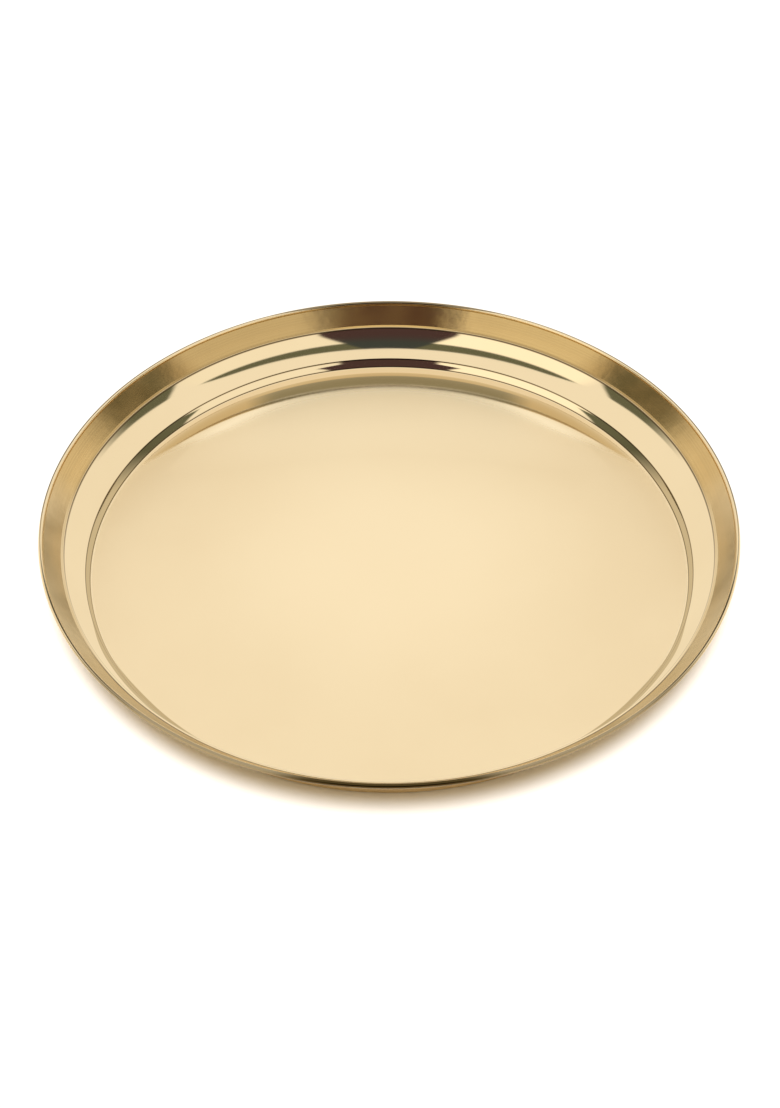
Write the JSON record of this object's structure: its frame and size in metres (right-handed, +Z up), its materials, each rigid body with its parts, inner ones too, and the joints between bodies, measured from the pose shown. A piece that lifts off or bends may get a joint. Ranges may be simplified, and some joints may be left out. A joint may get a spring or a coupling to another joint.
{
  "type": "thali plate",
  "caption": "Round spun brass plate with a flat floor, a small step, a polished cove, a flared rim and a lip rolled over a wire, for serving a meal.",
  "frame": {"origin": "centre of the base's underside, on the surface that the plate stands on", "axes": "+Z up along the plate's axis of turning, X and Y in the plane that it stands on"},
  "size_m": [0.3, 0.3, 0.028],
  "materials": {
    "brass_sheet": "polished floor and cove, satin rim band",
    "brass_wire": "drawn wire, hidden inside the rolled lip"
  },
  "bodies": {
    "root": {"dish": "brass_sheet", "rim_wire": "brass_wire"}
  },
  "joints": []
}
